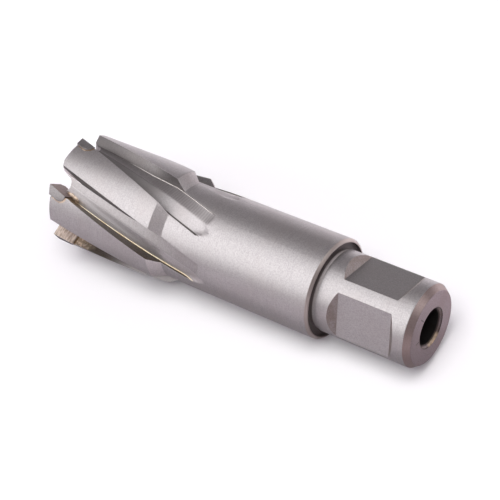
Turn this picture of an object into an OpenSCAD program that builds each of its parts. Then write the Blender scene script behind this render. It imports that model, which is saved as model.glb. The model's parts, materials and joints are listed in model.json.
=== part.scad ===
// Carbide-tipped annular cutter lying along X, tips towards -X and shank end towards +X.

/* [Shank] */
// Shank diameter
shank_d = 19.05; // [18.6:0.05:19.8]
// End face to the neck's corner at the shoulder
shank_len = 24.4; // [23:0.1:32]
// Length of the chamfer at the end face
end_chamfer_len = 1.45; // [0.8:0.05:2]
// Inward run of the chamfer at the end face
end_chamfer_in = 1.05; // [0.6:0.05:1.5]
// Pilot bore diameter
bore_d = 8.2; // [6:0.1:9]
// Countersink of the pilot bore
bore_sink = 0.7; // [0.2:0.05:0.8]

/* [Drive flats] */
// Depth of a drive flat below the shank's surface
flat_depth = 1.8; // [1.2:0.05:2.2]
// End face to the start of a flat's floor
flat_start = 5.5; // [4.5:0.1:6.5]
// Length of a flat's floor
flat_len = 13.1; // [10:0.1:14]
// Run of the sloped wall at each end of a flat
flat_run = 1.6; // [0.8:0.05:2]
// Turn of the first flat from the top
flat_turn = 1.5; // [-20:0.5:20]

/* [Neck and shoulder] */
// Neck diameter
neck_d = 23.4; // [23:0.1:24.4]
// Chamfer on the shoulder's rim
shoulder_chamfer = 0.55; // [0.3:0.05:0.8]
// Flat ring between the rim chamfer and the undercut
shoulder_rim = 0.25; // [0.1:0.05:0.5]
// Depth of the undercut into the shoulder
undercut_depth = 0.9; // [0.5:0.05:1.5]
// Length of the shank's root chamfer
root_len = 0.9; // [0.7:0.05:1.2]
// Inward run of the shank's root chamfer
root_in = 0.3; // [0.15:0.05:0.5]
// Root chamfer's start before the shoulder face
root_ahead = 0.65; // [0.4:0.05:1]

/* [Cutting head] */
// Diameter over the steel lands
head_d = 27.3; // [26.4:0.1:28.4]
// End face to the foot of the lands' conical step
step_start = 63.9; // [61:0.1:66]
// Length of the conical step
step_len = 2.8; // [2:0.1:4]
// End face to the front of the steel
steel_len = 95.65; // [92:0.1:100]
// Slug cavity diameter
slug_d = 18.6; // [18:0.1:19.2]
// Slug cavity depth from the front of the steel
slug_depth = 55.25; // [45:0.25:60]
// Length of the cavity's conical floor
slug_cone = 3; // [1:0.1:5]

/* [Flutes] */
// Helix pitch of the leading edges
lead_pitch = 288; // [250:1:340]
// Turn of a leading edge at the front of the steel
lead_turn = -0.39; // [-5:0.1:5]
// Rake of the leading wall from the radius
lead_rake = 14; // [4:0.5:18]
// Helix pitch of the trailing edges along the lands
trail_pitch = 380; // [350:1:430]
// Helix pitch of the trailing edges behind the step
run_pitch = 267; // [240:1:300]
// Width of a flute at the step's crest, in degrees
flute_open = 32.4; // [28:0.1:34]
// Draft of the trailing wall from the radius along the lands
trail_draft = 22; // [14:0.5:24]
// Draft of the trailing wall behind the step
run_draft = 7; // [2:0.5:12]
// Length past the step over which the draft grows
draft_len = 8; // [4:0.5:12]
// Depth of the corner at the leading wall below the neck
corner_sink = 0.7; // [0.5:0.05:0.9]
// Depth of the ridge between the two floor cuts below the neck
ridge_sink = 0.35; // [0.25:0.05:0.45]
// Depth of the floor at the trailing wall below the neck
floor_sink = 0.4; // [0.3:0.05:0.55]
// Share of the flute's width from the leading edge to the ridge
ridge_share = 0.475; // [0.35:0.005:0.6]
// End face to where the floor starts to run out
runout_at = 56.3; // [55:0.1:58]
// Radius of the run-out
runout_r = 9; // [7:0.5:14]
// Earlier run-out at the leading corner
runout_lead = 2.4; // [1:0.1:3]
// Later run-out at the trailing wall
runout_trail = 0.8; // [0.3:0.1:1.5]
// Earlier run-out at the first third from the leading corner
runout_third = 0.5; // [0:0.1:1]
// Later run-out at the second third from the leading corner
runout_late = 1.3; // [0.3:0.1:1.6]

/* [Gullets] */
// Half width of a gullet between two teeth
gullet_r = 1.75; // [1.5:0.05:2]
// Gullet's round centre back from the front of the steel
gullet_back = 1.5; // [1.1:0.05:1.9]
// Turn of a gullet from the leading edge at the front
gullet_turn = 7.2; // [6.5:0.1:8.5]
// Flare of the gullet's trailing side at the front
gullet_flare = 0.9; // [0.5:0.05:1.3]
// Depth to which a land's trailing front corner is ground back
grind_depth = 0.45; // [0.3:0.05:0.9]
// Reach of that grind along the front edge
grind_reach = 1.2; // [0.8:0.1:2.4]
// Teeth in a set, of which the first has its corner ground
grind_set = 3; // [2:1:3]

/* [Carbide tips] */
// Length of a tip along its leading edge
tip_len = 5.4; // [4.8:0.1:6.2]
// Thickness of a tip from its cutting face
tip_thick = 2.2; // [2:0.1:2.6]
// Tip's reach ahead of the steel
tip_ahead = 0.75; // [0.5:0.05:1.2]
// Tip's reach outside the lands
tip_out = 0.2; // [0.1:0.05:0.4]
// Tip's reach inside the slug cavity
tip_in = 0.3; // [0.15:0.05:0.5]
// Tip's cutting face ahead of the leading edge
tip_face = 0.1; // [0:0.05:0.3]
// Relief of the tip's front behind its cutting edge
tip_relief = 9.5; // [6:0.5:14]
// Chamfer on the tip's inner front corner
tip_chamfer = 0.9; // [0.5:0.05:1.2]
// Radius of the pocket's inner corner
tip_corner = 1.8; // [1.2:0.05:2]

/* [Braze seams] */
// Braze thickness behind and in front of a tip
braze_t = 0.3; // [0.15:0.05:0.4]
// Braze thickness under a tip
braze_foot = 0.5; // [0.3:0.05:0.7]
// Sink of the braze behind the cutting face under the tip
braze_notch = 0.2; // [0.1:0.05:0.6]
// Braze's end back from the front of the steel
braze_back = 0.5; // [0.3:0.05:0.8]

/* [Rest] */
// Turn about the axis at which the tool lies at rest on two lands and its neck
rest_turn = 19; // [0:0.5:60]

/* [Hidden] */
shank_r = shank_d / 2;
bore_r = bore_d / 2;
neck_r = neck_d / 2;
head_r = head_d / 2;
slug_r = slug_d / 2;
tip_r = head_r + tip_out;
tip_in_r = slug_r - tip_in;
tip_front = steel_len + tip_ahead;
step_end = step_start + step_len;
face_a = shank_len - shoulder_chamfer;
rim_r = neck_r - shoulder_chamfer;
root_a = face_a - root_ahead;
slug_floor = steel_len - slug_depth;
corner_h = head_r - neck_r + corner_sink;
floor_h = head_r - neck_r + floor_sink;
tooth_count = 6;
pitch_deg = 360 / tooth_count;
clear = 3;
tilt = atan(2 * PI * head_r / lead_pitch);
tip_mid = tip_front - tip_len * cos(tilt) / 2 + tip_face * sin(tilt);
tip_top = tip_len / 2;
tip_back = tip_face - tip_thick;
seam_r = neck_r - corner_sink - 0.1;
seam_top = (steel_len - gullet_back - gullet_r - 0.1 - tip_mid) / cos(tilt);
gullet_a = steel_len - gullet_back;
flute_end = steel_len + clear;
bend_from = step_end - 0.4;
bend_to = step_end + 0.4;
land_steps = 7;
runout_steps = [-6, -5, -4.2, -3.4, -2.6, -1.7, -0.8, 0, 1.2, 2.4];
$fn = 96;

// Turn of the leading edge at a distance from the end face
function lead_ang(a) = lead_turn + (a - steel_len) * 360 / lead_pitch;

// Turn of the trailing edge of the tooth ahead
function trail_ang(a) =
    lead_ang(step_end) + flute_open + (a - step_end) * 360 / (a > step_end ? trail_pitch : run_pitch);

// Draft of the trailing wall at a distance from the end face
function draft_at(a) = run_draft + (trail_draft - run_draft) * min(max((a - step_end) / draft_len, 0), 1);

// Rise of the floor past the start of its run-out
function rise(u) = u <= 0 ? 0 : runout_r - sqrt(pow(runout_r, 2) - pow(min(u, runout_r * 0.66), 2));

// Point given across a radius that is turned by an angle
function turned(ang, x, y) = [x * cos(ang) - y * sin(ang), x * sin(ang) + y * cos(ang)];

// Point on the leading wall at a depth below the land
function lead_pt(a, h) = turned(lead_ang(a), head_r - h, -h * tan(lead_rake));

// Point on the trailing wall at a depth below the land
function trail_pt(a, h) = turned(trail_ang(a), head_r - h, -h * tan(draft_at(a)));

// Point on the ridge between the two floor cuts, before any run-out
function ridge_pt(a) = turned(lead_ang(a) + ridge_share * (trail_ang(a) - lead_ang(a)), neck_r - ridge_sink, 0);

// Point on the floor between the leading corner and the ridge, before any run-out
function floor_pt(a, share) = lead_pt(a, corner_h) * (1 - share) + ridge_pt(a) * share;

// Point moved outwards
function raised(p, h) = p * (1 + h / norm(p));

// Flute's outline at a distance from the end face
function flute_ring(a) =
    [lead_pt(a, -clear),
     lead_pt(a, corner_h - rise(runout_at + runout_lead - a)),
     raised(floor_pt(a, 0.33), rise(runout_at + runout_third - a)),
     raised(floor_pt(a, 0.67), rise(runout_at - runout_late - a)),
     raised(ridge_pt(a), rise(runout_at - a)),
     trail_pt(a, floor_h - rise(runout_at - runout_trail - a)),
     trail_pt(a, -clear)];

// Distances at which a flute's outline is set
flute_at = concat([for (d = runout_steps) runout_at + d],
                  [(runout_at + max(runout_steps) + bend_from) / 2, bend_from],
                  [for (i = [0 : land_steps]) bend_to + (flute_end - bend_to) * i / land_steps]);

// Quarter of a rounded corner, from its lower edge to its side
function corner_arc(x, y, r) = [for (i = [0 : 6]) [x + r - r * sin(i * 15), y + r - r * cos(i * 15)]];

// Rounded end of a gullet, from its leading side to its trailing side
function gullet_arc() = [for (i = [0 : 12]) [-gullet_r * cos(i * 15), gullet_a - gullet_r * sin(i * 15)]];

module lay() {
    translate([tip_front / 2, 0, tip_r])
        rotate([0, -90, 0])
            rotate([0, 0, rest_turn])
                children();
}

module blank() {
    rotate_extrude()
        polygon([[bore_r + bore_sink, 0], [shank_r - end_chamfer_in, 0], [shank_r, end_chamfer_len],
                 [shank_r, root_a], [shank_r - root_in, root_a + root_len],
                 [shank_r - root_in, face_a + undercut_depth], [rim_r - shoulder_rim, face_a + undercut_depth],
                 [rim_r - shoulder_rim, face_a], [rim_r, face_a], [neck_r, shank_len],
                 [neck_r, step_start], [head_r, step_end], [head_r, steel_len], [slug_r, steel_len],
                 [slug_r, slug_floor], [bore_r, slug_floor - slug_cone], [bore_r, bore_sink]]);
}

module flute_cut() {
    k = len(flute_ring(0));
    n = len(flute_at);
    points = [for (a = flute_at) for (p = flute_ring(a)) [p[0], p[1], a]];
    sides = [for (i = [0 : n - 2]) for (j = [0 : k - 1]) for (t = [0, 1])
        t == 0 ? [i * k + j, i * k + (j + 1) % k, (i + 1) * k + (j + 1) % k]
               : [i * k + j, (i + 1) * k + (j + 1) % k, (i + 1) * k + j]];
    low = [[for (j = [k - 1 : -1 : 0]) j]];
    high = [[for (j = [0 : k - 1]) (n - 1) * k + j]];
    polyhedron(points, concat(sides, low, high), convexity = 6);
}

module flat_cut() {
    run = flat_run * (flat_depth + clear) / flat_depth;
    rotate([90, 0, 0])
        linear_extrude(2 * shank_d, center = true)
            polygon([[shank_r - flat_depth, flat_start], [shank_r + clear, flat_start - run],
                     [shank_r + clear, flat_start + flat_len + run], [shank_r - flat_depth, flat_start + flat_len]]);
}

module gullet_cut() {
    top = tip_front + clear;
    rotate([90, 0, lead_turn + gullet_turn + 90])
        translate([0, 0, slug_r - clear])
            linear_extrude(head_r + 2 * clear - slug_r)
                polygon(concat(gullet_arc(), [[gullet_r + 2 * gullet_flare, steel_len + gullet_back],
                                              [gullet_r + 2 * gullet_flare, top], [-gullet_r, top]]));
}

// Slope that runs from the foot of the trailing wall to the front edge and takes the corner between them
module corner_grind() {
    foot = trail_pt(steel_len, floor_h);
    rim = turned(trail_ang(steel_len) + grind_reach / head_r * 180 / PI, head_r, 0);
    corner = trail_pt(steel_len, 0);
    run = rim - foot;
    aside = cross(corner - foot, run) / norm(run);
    wide = aside + clear;
    slope = grind_depth / aside;
    translate([foot[0], foot[1], steel_len])
        rotate([0, 0, atan2(run[1], run[0])])
            rotate([90, 0, 90])
                linear_extrude(norm(run) + clear)
                    polygon([[clear, slope * clear], [clear, 2 * clear], [-wide, 2 * clear], [-wide, -slope * wide]]);
}

// Sets a prism drawn across the tooth (x towards the leading side, y along the edge) through the wall
module across(r0, r1) {
    rotate([0, 0, lead_ang(tip_mid)])
        translate([0, 0, tip_mid])
            rotate([-tilt, 0, 0])
                rotate([90, 0, 90])
                    translate([0, 0, r0])
                        linear_extrude(r1 - r0)
                            children();
}

module tip_outline(drop, top) {
    polygon(concat([[tip_face, top], [tip_face, -tip_top]], corner_arc(tip_back, -tip_top, tip_corner),
                   [[tip_back, top - drop]]));
}

module pocket_cut() {
    top = tip_len + clear;
    across(slug_r - 2, head_r + 2)
        polygon(concat([[tip_face + braze_t, top], [tip_face + braze_t, -tip_top - braze_foot]],
                       corner_arc(tip_back - braze_t, -tip_top - braze_foot, tip_corner + braze_t),
                       [[tip_back - braze_t, top]]));
}

module cutter_body() {
    color([0.72, 0.71, 0.72])
        lay()
            difference() {
                blank();
                for (i = [0 : tooth_count - 1]) {
                    rotate([0, 0, i * pitch_deg]) {
                        flute_cut();
                        gullet_cut();
                        if (i % grind_set == 0)
                            rotate([0, 0, -pitch_deg])
                                corner_grind();
                        pocket_cut();
                    }
                }
                rotate([0, 0, flat_turn])
                    flat_cut();
                rotate([0, 0, flat_turn - 90])
                    flat_cut();
            }
}

module carbide_tip(i) {
    color([0.36, 0.37, 0.41])
        lay()
            rotate([0, 0, i * pitch_deg])
                intersection() {
                    across(tip_in_r - 2, tip_r + 2)
                        tip_outline(tip_thick * tan(tilt + tip_relief), tip_top);
                    rotate_extrude()
                        polygon([[tip_in_r, tip_front - tip_len - 2], [tip_r, tip_front - tip_len - 2],
                                 [tip_r, tip_front + 1], [tip_in_r + tip_chamfer + 1, tip_front + 1],
                                 [tip_in_r, tip_front - tip_chamfer]]);
                }
}

module braze_seam(i) {
    color([0.82, 0.68, 0.46])
        lay()
            rotate([0, 0, i * pitch_deg])
                intersection() {
                    difference() {
                        pocket_cut();
                        across(slug_r - clear, head_r + clear)
                            tip_outline(0, tip_len + 2 * clear);
                        across(seam_r, head_r + clear)
                            translate([tip_face - braze_notch, -tip_len])
                                square([braze_notch + 1, 2 * tip_len + 2 * clear]);
                        across(slug_r - clear, head_r + clear)
                            translate([tip_face - 0.5, seam_top])
                                square([2, 2 * tip_len]);
                    }
                    rotate_extrude()
                        polygon([[slug_r, tip_front - tip_len - clear], [head_r, tip_front - tip_len - clear],
                                 [head_r, steel_len - braze_back], [slug_r, steel_len - braze_back]]);
                }
}

cutter_body();
carbide_tip(0);  // carbide_tip_1
carbide_tip(1);  // carbide_tip_2
carbide_tip(2);  // carbide_tip_3
carbide_tip(3);  // carbide_tip_4
carbide_tip(4);  // carbide_tip_5
carbide_tip(5);  // carbide_tip_6
braze_seam(0);  // braze_seam_1
braze_seam(1);  // braze_seam_2
braze_seam(2);  // braze_seam_3
braze_seam(3);  // braze_seam_4
braze_seam(4);  // braze_seam_5
braze_seam(5);  // braze_seam_6
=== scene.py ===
import json
import math

import bmesh
import bpy
import numpy as np
from mathutils import Matrix, Vector

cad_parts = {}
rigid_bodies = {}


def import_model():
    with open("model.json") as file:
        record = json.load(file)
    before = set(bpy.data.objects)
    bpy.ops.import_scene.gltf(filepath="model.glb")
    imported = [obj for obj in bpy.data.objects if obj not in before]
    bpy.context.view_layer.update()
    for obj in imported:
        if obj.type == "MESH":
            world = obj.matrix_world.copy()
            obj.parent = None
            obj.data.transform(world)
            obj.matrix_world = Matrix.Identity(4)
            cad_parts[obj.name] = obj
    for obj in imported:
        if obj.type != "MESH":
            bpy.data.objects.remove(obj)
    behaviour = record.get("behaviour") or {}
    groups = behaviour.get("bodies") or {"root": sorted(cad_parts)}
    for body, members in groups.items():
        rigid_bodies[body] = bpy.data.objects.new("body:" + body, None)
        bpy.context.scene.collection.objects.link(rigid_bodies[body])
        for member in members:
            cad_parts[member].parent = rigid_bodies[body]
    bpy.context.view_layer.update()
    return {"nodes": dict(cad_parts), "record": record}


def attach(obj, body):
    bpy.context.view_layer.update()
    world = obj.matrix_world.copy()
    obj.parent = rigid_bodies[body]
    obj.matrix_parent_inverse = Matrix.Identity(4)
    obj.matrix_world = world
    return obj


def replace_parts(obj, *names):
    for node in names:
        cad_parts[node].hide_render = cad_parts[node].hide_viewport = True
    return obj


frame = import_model()
mm = 0.001
scene = bpy.context.scene
mounts = {m["name"]: m for m in frame["record"]["mounts"]}
endX = mounts["shank_end"]["pos_m"][0]  # the shank's end face, where distances along the tool start
axisZ = mounts["pilot_bore"]["pos_m"][2]  # height of the tool's axis
flatAxis = mounts["drive_flat_1"]["axis"]

# sizes in millimetres, turns in degrees
shank = {"radius": 9.525, "endChamferLength": 1.45, "endChamferIn": 1.05, "rootStart": 23.2,
         "rootLength": 0.9, "rootIn": 0.3}
flat = {"turn": 1.5, "apart": 90, "depth": 1.8, "start": 5.5, "length": 13.1, "run": 1.6}
neck = {"radius": 11.7, "start": 24.4, "chamfer": 0.55, "rim": 0.25, "undercut": 0.9}
head = {"radius": 13.65, "stepStart": 63.9, "stepEnd": 66.7, "end": 95.65}
core = {"boreRadius": 4.1, "sink": 0.7, "slugRadius": 9.3, "slugDepth": 55.25, "cone": 3, "past": 1,
        "points": 144}
teeth = {"count": 6, "pitch": 60.0}
flute = {"leadPitch": 288, "leadTurn": -0.39, "rake": 14, "trailPitch": 380, "runPitch": 267, "open": 32.4,
         "draft": 22, "runDraft": 7, "draftLength": 8, "cornerSink": 0.7, "ridgeSink": 0.35,
         "floorSink": 0.4, "ridgeShare": 0.475, "third": 0.33, "runoutAt": 56.3, "runoutRadius": 9,
         "runoutPart": 0.66, "runoutLead": 2.4, "runoutTrail": 0.8, "runoutThird": 0.5, "runoutLate": 1.3,
         "start": 49.8}
gullet = {"radius": 1.75, "back": 1.5, "turn": 7.2, "flare": 0.9, "arcSteps": 24}
grind = {"depth": 0.45, "reach": 1.2, "set": 3}
pocket = {"tipLength": 5.4, "tipThick": 2.2, "tipAhead": 0.75, "tipFace": 0.1, "corner": 1.8, "braze": 0.3,
          "foot": 0.5, "cornerSteps": 10, "past": 2}
edges = {"land": 0.05, "corner": 0.18, "ridge": 0.3, "trail": 0.06, "step": 0.14, "rim": 0.07, "most": 0.45,
         "sharp": 25}
clear = 3.0  # how far a cut reaches past the steel
weldReach = 1e-6  # points nearer than this, in metres, become one
shoulderAt = neck["start"] - neck["chamfer"]
shoulderRadius = neck["radius"] - neck["chamfer"]
fluteDepth = head["radius"] - neck["radius"]
restTurn = math.atan2(flatAxis[1], flatAxis[2]) - math.radians(flat["turn"])

finishes = ["groundSteel", "turnedEnd", "flatFloor", "flatWall", "fluteFloor", "fluteStrip", "leadWall",
            "trailWall", "cornerLine", "gulletCut", "boreSink", "boreInShade", "slugWall", "stepCone",
            "rootCut"]
slotOf = {name: i for i, name in enumerate(finishes)}


def toFrame(points):  # from millimetres along and across the tool to metres in the frame
    p = np.asarray(points, float)
    c, s = math.cos(restTurn), math.sin(restTurn)
    up = p[:, 0] * c - p[:, 1] * s
    side = p[:, 0] * s + p[:, 1] * c
    return np.column_stack([endX - p[:, 2] * mm, side * mm, axisZ + up * mm])


def newPiece(name, points, faces, slots):
    mesh = bpy.data.meshes.new(name)
    mesh.from_pydata(toFrame(points).tolist(), [], faces)
    mesh.polygons.foreach_set("material_index", np.asarray(slots, np.int32))
    mesh.update()
    piece = bpy.data.objects.new(name, mesh)
    scene.collection.objects.link(piece)
    return piece


def settled(piece):  # the evaluated mesh takes the place of the modifiers
    graph = bpy.context.evaluated_depsgraph_get()
    mesh = bpy.data.meshes.new_from_object(piece.evaluated_get(graph), preserve_all_data_layers=True,
                                           depsgraph=graph)
    piece.modifiers.clear()
    piece.data = mesh
    return piece


def reworked(piece, change):  # a change made to the points and faces of a piece
    work = bmesh.new()
    work.from_mesh(piece.data)
    change(work)
    work.to_mesh(piece.data)
    work.free()
    return piece


def outward(work):
    bmesh.ops.recalc_face_normals(work, faces=work.faces)


def weld(work):
    bmesh.ops.remove_doubles(work, verts=work.verts, dist=weldReach)
    bmesh.ops.dissolve_degenerate(work, dist=weldReach, edges=work.edges)


def band(first, count):  # faces between the ring of points that starts at first and the ring after it
    return [(first + j, first + (j + 1) % count, first + count + (j + 1) % count, first + count + j)
            for j in range(count)]


def caps(count, rows):  # the two ends of a stack of rings
    last = (rows - 1) * count
    return [tuple(range(count - 1, -1, -1)), tuple(range(last, last + count))]


def turned(angle, x, y):
    c, s = math.cos(angle), math.sin(angle)
    return np.array([x * c - y * s, x * s + y * c])


def turnOf(p):
    return math.atan2(p[1], p[0])


def eased(before, corner, after, reach, steps):  # a soft corner between two straight runs
    first, last = (corner + (p - corner) * min(reach / max(np.linalg.norm(p - corner), 1e-9), edges["most"])
                   for p in (before, after))
    return [first * (1 - t) ** 2 + corner * 2 * t * (1 - t) + last * t * t for t in np.linspace(0, 1, steps)]


def between(p, q, count=1):
    return [p + (q - p) * (i + 1) / (count + 1) for i in range(count)]


# how a flute runs along the tool
def leadTurn(a):
    return math.radians(flute["leadTurn"] + (a - head["end"]) * 360 / flute["leadPitch"])


def trailTurn(a):
    pitch = flute["trailPitch"] if a > head["stepEnd"] else flute["runPitch"]
    return leadTurn(head["stepEnd"]) + math.radians(flute["open"] + (a - head["stepEnd"]) * 360 / pitch)


def rise(u):  # how far a cut has climbed out at a distance into its runout
    r = flute["runoutRadius"]
    return 0 if u <= 0 else r - math.sqrt(r * r - min(u, r * flute["runoutPart"]) ** 2)


def draftAt(a):  # the trailing wall leans more along the lands than behind the step
    grown = min(max((a - head["stepEnd"]) / flute["draftLength"], 0), 1)
    return flute["runDraft"] + (flute["draft"] - flute["runDraft"]) * grown


def wallPoint(turn, depth, slope):
    return turned(turn, head["radius"] - depth, -depth * math.tan(math.radians(slope)))


def leadPoint(a, depth):
    return wallPoint(leadTurn(a), depth, flute["rake"])


def trailPoint(a, depth):
    return wallPoint(trailTurn(a), depth, draftAt(a))


def wallDepth(radius, slope):  # depth at which a sloped wall meets a radius
    k = 1 + math.tan(math.radians(slope)) ** 2
    r = head["radius"]
    return (r - math.sqrt(max(r * r - k * (r * r - radius * radius), 0))) / k


def lifted(p, height):
    return p * (1 + height / np.linalg.norm(p))


# points across one land and one flute, and the finish of each strip between them
steps = {"land": 4, "corner": 5, "ridge": 3, "strip": 3, "trail": 4, "top": 12}
sectorSlots = (["groundSteel"] * (steps["land"] - 1) + ["leadWall"] * 2
               + ["cornerLine"] * (steps["corner"] - 1) + ["fluteFloor"] * (steps["ridge"] + 4)
               + ["fluteStrip"] * (steps["strip"] + 2) + ["trailWall"] * (steps["trail"] + 2)
               + ["groundSteel"] * (steps["land"] + steps["top"] - 1))
margins = {"fine": 0.02, "wide": 0.05, "neck": 0.01, "runOut": 0.005, "onBlank": 0.001}


def sectorRing(a, radius):  # one land and one flute across the tool, clipped to the blank's radius
    at, third = flute["runoutAt"], flute["third"]
    cornerDepth = fluteDepth + flute["cornerSink"]
    top = leadPoint(a, wallDepth(radius, flute["rake"]))
    corner = leadPoint(a, cornerDepth - rise(at + flute["runoutLead"] - a))
    deepCorner = leadPoint(a, cornerDepth)
    ridgeTurn = leadTurn(a) + flute["ridgeShare"] * (trailTurn(a) - leadTurn(a))
    deepRidge = turned(ridgeTurn, neck["radius"] - flute["ridgeSink"], 0)
    early = lifted(deepCorner * (1 - third) + deepRidge * third, rise(at + flute["runoutThird"] - a))
    late = lifted(deepCorner * third + deepRidge * (1 - third), rise(at - flute["runoutLate"] - a))
    ridge = lifted(deepRidge, rise(at - a))
    foot = trailPoint(a, fluteDepth + flute["floorSink"] - rise(at - flute["runoutTrail"] - a))
    rim = trailPoint(a, wallDepth(radius, draftAt(a)))
    span = 2 * edges["land"] / radius
    landEnd = turned(turnOf(top) - span, radius, 0)
    landStart = turned(turnOf(rim) + span, radius, 0)
    ring = eased(landEnd, top, corner, edges["land"], steps["land"])
    ring += between(ring[-1], corner)
    ring += eased(top, corner, early, edges["corner"], steps["corner"])
    ring += between(ring[-1], early) + [early] + between(early, late) + [late] + between(late, ridge)
    ring += eased(late, ridge, foot, edges["ridge"], steps["ridge"])
    ring += between(ring[-1], foot, steps["strip"])
    ring += eased(ridge, foot, rim, edges["trail"], steps["trail"])
    ring += between(ring[-1], rim)
    ring += eased(foot, rim, landStart, edges["land"], steps["land"])
    firstTurn = turnOf(ring[-1])
    landTurn = turnOf(ring[0]) + math.radians(teeth["pitch"]) - firstTurn
    for i in range(steps["top"]):
        ring.append(turned(firstTurn + landTurn * (i + 1) / (steps["top"] + 1), radius, 0))
    points = np.array(ring)
    reach = np.linalg.norm(points, axis=1)
    turns = np.arctan2(points[:, 1], points[:, 0])
    for i in range(len(ring) - 2, -1, -1):  # points outside the blank keep their order round it
        if min(reach[i], reach[i + 1]) > radius - margins["onBlank"]:
            turns[i] = min(turns[i], turns[i + 1])
    reach = np.minimum(reach, radius)
    return np.column_stack([reach * np.cos(turns), reach * np.sin(turns)])


# where the rings of points lie along the blank
stationSet = {"cornerSteps": 4, "inFace": 0.4, "beforeFlute": 0.4, "runoutEnd": 59.6, "runoutStep": 0.2,
              "floor": [60.6, 61.7, 62.8], "cone": [64.8, 65.8], "landFrom": 0.6, "lands": 26}


def softProfile(corners):  # a profile of (distance, radius, softness) with every inner corner eased
    pts = [np.array(c[:2], float) for c in corners]
    line = [pts[0]]
    for i in range(1, len(pts) - 1):
        line += eased(pts[i - 1], pts[i], pts[i + 1], corners[i][2], stationSet["cornerSteps"])
    return line + [pts[-1]]


def bodyStations():  # distance, radius and whether the flutes run there
    endRadius = shank["radius"] - shank["endChamferIn"]
    rootRadius = shank["radius"] - shank["rootIn"]
    deep = shoulderAt + neck["undercut"]
    innerRim = shoulderRadius - neck["rim"]
    soft = edges["rim"]
    plain = softProfile([
        (0, endRadius - stationSet["inFace"], 0),
        (0, endRadius, soft),
        (shank["endChamferLength"], shank["radius"], edges["step"]),
        (shank["rootStart"], shank["radius"], soft),
        (shank["rootStart"] + shank["rootLength"], rootRadius, soft),
        (deep, rootRadius, edges["step"]),
        (deep, innerRim, edges["step"]),
        (shoulderAt, innerRim, soft),
        (shoulderAt, shoulderRadius, soft),
        (neck["start"], neck["radius"], soft),
        (flute["start"] - stationSet["beforeFlute"], neck["radius"], 0)])
    step = softProfile([
        (flute["start"], neck["radius"], 0), (head["stepStart"], neck["radius"], edges["step"]),
        (head["stepEnd"], head["radius"], edges["step"]), (head["end"], head["radius"], 0)])
    stepA, stepR = np.array(step).T
    along = np.concatenate([
        np.arange(flute["start"], stationSet["runoutEnd"], stationSet["runoutStep"]), stationSet["floor"],
        stepA[1:-1], stationSet["cone"],
        np.linspace(head["stepEnd"] + stationSet["landFrom"], head["end"], stationSet["lands"])])
    along = np.unique(np.round(along, 4))
    return ([(a, r, False) for a, r in plain]
            + [(a, float(np.interp(a, stepA, stepR)), True) for a in along])


def finishAt(a, radius, name):  # the finish of a strip of the blank by where it lies
    if name != "groundSteel":
        return slotOf[name]
    rootEnd = shoulderAt + neck["undercut"] + margins["wide"]
    inRoot = shank["rootStart"] + margins["fine"] < a < rootEnd
    if inRoot and radius < shoulderRadius - neck["rim"] + margins["fine"]:
        return slotOf["rootCut"]
    if head["stepStart"] + margins["wide"] < a < head["stepEnd"] - margins["wide"]:
        return slotOf["stepCone"]
    onEnd = a < shank["endChamferLength"] - margins["fine"]
    isTurned = (onEnd or inRoot) and radius < neck["radius"] - margins["neck"]
    return slotOf["turnedEnd" if isTurned else "groundSteel"]


def buildBody():
    stations = bodyStations()
    startRing = sectorRing(flute["start"], neck["radius"])
    roundRing = startRing / np.linalg.norm(startRing, axis=1)[:, None]
    rings, faces, slots = [], [], []
    for a, radius, fluted in stations:
        sector = sectorRing(a, radius) if fluted else roundRing * radius
        ring = [turned(math.radians(teeth["pitch"] * i), *p) for i in range(teeth["count"]) for p in sector]
        rings.append(np.column_stack([ring, np.full(len(ring), a)]))
    count = len(rings[0])
    for i, (here, after) in enumerate(zip(stations, stations[1:])):
        a, radius = (here[0] + after[0]) / 2, (here[1] + after[1]) / 2
        faces += band(i * count, count)
        reach = np.linalg.norm(rings[i][:, :2], axis=1)
        ranOut = np.minimum(reach, np.roll(reach, -1)) > here[1] - margins["runOut"]
        for j in range(count):
            inFlute = a > flute["start"] and not ranOut[j]
            name = sectorSlots[j % len(startRing)] if inFlute else "groundSteel"
            slots.append(finishAt(a, radius, name))
    faces += caps(count, len(rings))
    slots += [slotOf["turnedEnd"], slotOf["gulletCut"]]
    return reworked(newPiece("cutterBody", np.concatenate(rings), faces, slots), weld)


def extruded(name, outline, toPoint, near, far, slot):  # a prism from a flat outline, closed at both ends
    count = len(outline)
    points = [toPoint(x, y, z) for z in (near, far) for x, y in outline]
    faces = band(0, count) + caps(count, 2)
    return reworked(newPiece(name, points, faces, [slotOf[slot]] * len(faces)), outward)


def gulletCutter():
    r, count = gullet["radius"], gullet["arcSteps"]
    centreAt = head["end"] - gullet["back"]
    angles = [math.pi * i / count for i in range(count + 1)]
    outline = [(-r * math.cos(t), centreAt - r * math.sin(t)) for t in angles]
    flared = r + 2 * gullet["flare"]
    top = head["end"] + clear
    outline += [(flared, head["end"] + gullet["back"]), (flared, top), (-r, top)]
    turn = math.radians(flute["leadTurn"] + gullet["turn"])

    def toPoint(x, y, z):
        return (*turned(turn, z, x), y)

    return extruded("gulletCutter", outline, toPoint, core["slugRadius"] - clear, head["radius"] + clear,
                    "gulletCut")


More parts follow.
